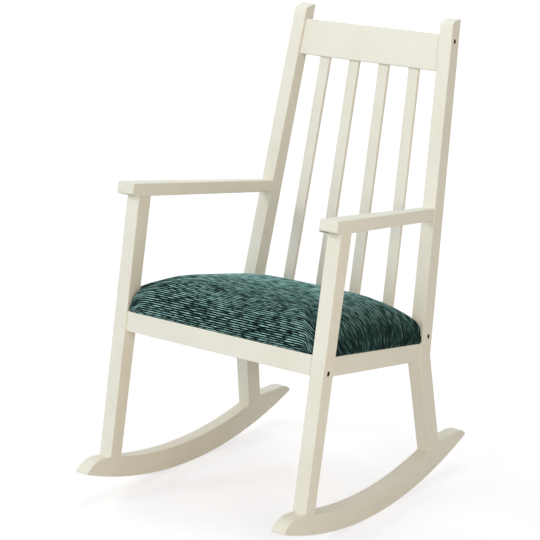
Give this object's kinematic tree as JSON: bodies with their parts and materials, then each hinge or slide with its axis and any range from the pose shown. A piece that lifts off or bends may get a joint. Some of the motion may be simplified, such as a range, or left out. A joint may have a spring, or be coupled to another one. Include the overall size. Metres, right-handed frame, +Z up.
{
  "type": "rocking chair",
  "caption": "Painted wooden rocking chair with a tall slatted back, flat arms, curved rockers and a crowned seat cushion in ribbed dark green cloth.",
  "frame": {"origin": "on the floor, under the middle of the chair's overall length and width", "axes": "+Z up, -Y the way the sitter faces, +X towards the sitter's left"},
  "size_m": [0.546, 0.8392, 1.0821],
  "materials": {
    "paint": "satin",
    "bare_wood": "matte",
    "cloth": "matte",
    "foam": "matte",
    "bronze": "satin",
    "steel": "satin"
  },
  "bodies": {
    "root": {"rocker_left": "paint", "rocker_right": "paint", "front_leg_left": "paint", "front_leg_right": "paint", "rear_post_left": "paint", "rear_post_right": "paint", "side_rail_left": "paint", "side_rail_right": "paint", "arm_left": "paint", "arm_right": "paint", "front_rail": "paint", "rear_rail": "paint", "crest_rail": "paint", "slat_1": "paint", "slat_2": "paint", "slat_3": "paint", "slat_4": "paint", "corner_block_front_left": "bare_wood", "corner_block_front_right": "bare_wood", "corner_block_rear_left": "bare_wood", "corner_block_rear_right": "bare_wood", "seat_board": "bare_wood", "rocker_pegs": "bare_wood", "side_rail_pegs": "bare_wood", "cross_rail_pegs": "bare_wood", "arm_pegs": "bare_wood", "seat_cover": "cloth", "seat_foam": "foam", "frame_bolts": "bronze", "cross_nuts": "steel", "seat_screws": "steel"}
  },
  "joints": []
}
